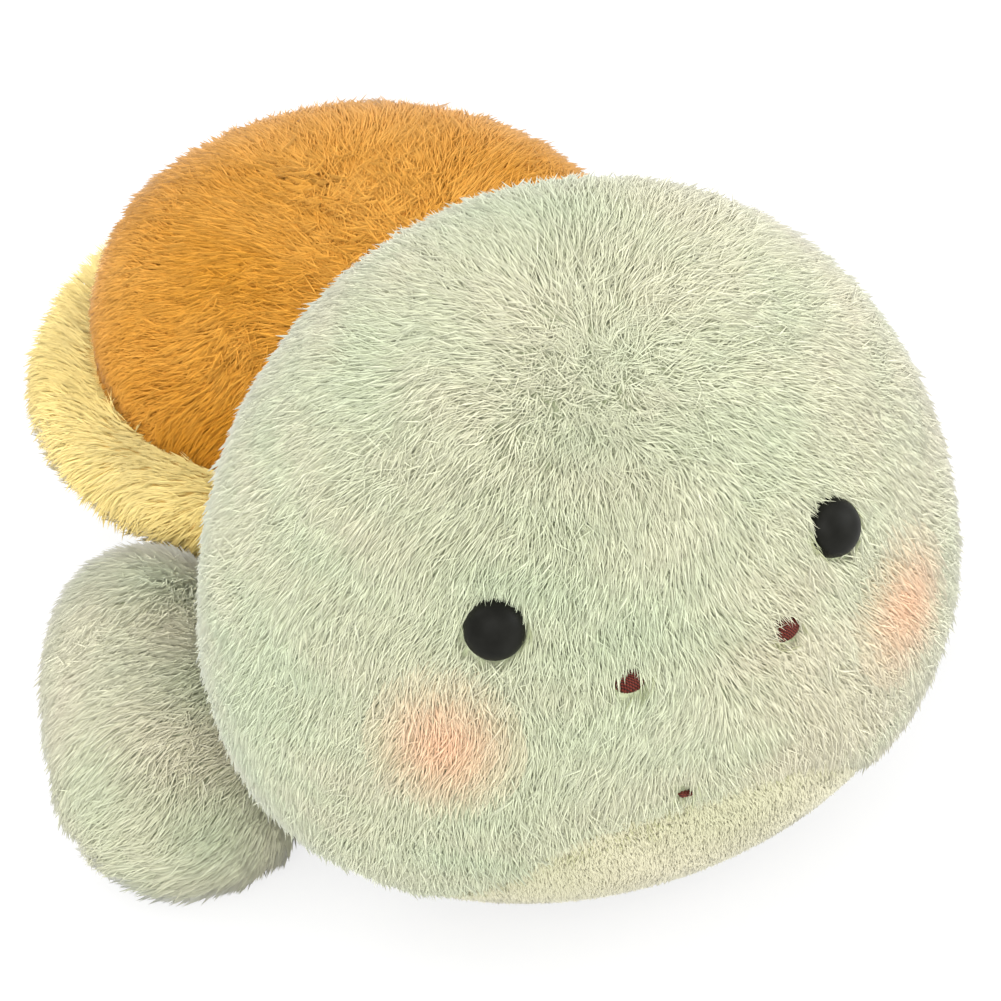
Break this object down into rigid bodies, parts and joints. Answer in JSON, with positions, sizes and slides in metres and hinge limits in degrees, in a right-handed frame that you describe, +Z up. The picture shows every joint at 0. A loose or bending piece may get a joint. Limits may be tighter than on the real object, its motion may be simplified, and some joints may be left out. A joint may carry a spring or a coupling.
{
  "type": "plush turtle",
  "caption": "Soft long-pile turtle lying on its belly: big round head with safety eyes, domed shell with a rolled rim, plump legs and a tail.",
  "frame": {"origin": "on the floor, in the middle of the belly's flat underside, below the middle of the shell", "axes": "+Z up; the turtle faces -Y; its own left side is +X"},
  "size_m": [0.1825, 0.2551, 0.1275],
  "materials": {
    "green_plush": "pale green long-pile plush",
    "chin_plush": "cream short-pile plush",
    "shell_plush": "caramel long-pile plush",
    "rim_plush": "pale yellow long-pile plush",
    "stuffing": "white polyester fibre",
    "eye_plastic": "black, softly glossy",
    "washer_plastic": "white, matte",
    "brown_thread": "dark red-brown embroidery thread"
  },
  "bodies": {
    "body": {"belly_skin": "green_plush", "shell_rim": "rim_plush", "shell_top": "shell_plush", "body_stuffing": "stuffing", "neck_band": "green_plush", "neck_stuffing": "stuffing"},
    "head": {"head_skin": "green_plush", "chin_skin": "chin_plush", "head_stuffing": "stuffing", "eye_right": "eye_plastic", "eye_washer_right": "washer_plastic", "eye_left": "eye_plastic", "eye_washer_left": "washer_plastic", "nostril_right": "brown_thread", "nostril_left": "brown_thread", "mouth_stitch": "brown_thread"},
    "front_leg_right": {"front_leg_right_skin": "green_plush", "front_leg_right_stuffing": "stuffing"},
    "front_leg_left": {"front_leg_left_skin": "green_plush", "front_leg_left_stuffing": "stuffing"},
    "hind_leg_right": {"hind_leg_right_skin": "green_plush", "hind_leg_right_stuffing": "stuffing"},
    "hind_leg_left": {"hind_leg_left_skin": "green_plush", "hind_leg_left_stuffing": "stuffing"},
    "tail": {"tail_skin": "green_plush", "tail_stuffing": "stuffing"}
  },
  "joints": [
    {"name": "head_nod", "type": "hinge", "parent": "body", "child": "head", "pos_m": [0, -0.071, 0.055], "axis": [-1, 0, 0], "range_deg": [0, 18]},
    {"name": "front_leg_right_swing", "type": "hinge", "parent": "body", "child": "front_leg_right", "pos_m": [-0.052, -0.037, 0.0145], "axis": [0, 0, -1], "range_deg": [0, 30], "stiffness_Nm_per_rad": 0.02},
    {"name": "front_leg_left_swing", "type": "hinge", "parent": "body", "child": "front_leg_left", "pos_m": [0.052, -0.033, 0.0145], "axis": [0, 0, 1], "range_deg": [0, 36], "stiffness_Nm_per_rad": 0.02},
    {"name": "hind_leg_right_swing", "type": "hinge", "parent": "body", "child": "hind_leg_right", "pos_m": [-0.034, 0.043, 0.0115], "axis": [0, 0, 1], "range_deg": [0, 20], "stiffness_Nm_per_rad": 0.01},
    {"name": "hind_leg_left_swing", "type": "hinge", "parent": "body", "child": "hind_leg_left", "pos_m": [0.034, 0.043, 0.0115], "axis": [0, 0, -1], "range_deg": [0, 20], "stiffness_Nm_per_rad": 0.01},
    {"name": "tail_wag", "type": "hinge", "parent": "body", "child": "tail", "pos_m": [0, 0.05, 0.011], "axis": [0, 0, 1], "range_deg": [-20, 20], "stiffness_Nm_per_rad": 0.005}
  ]
}
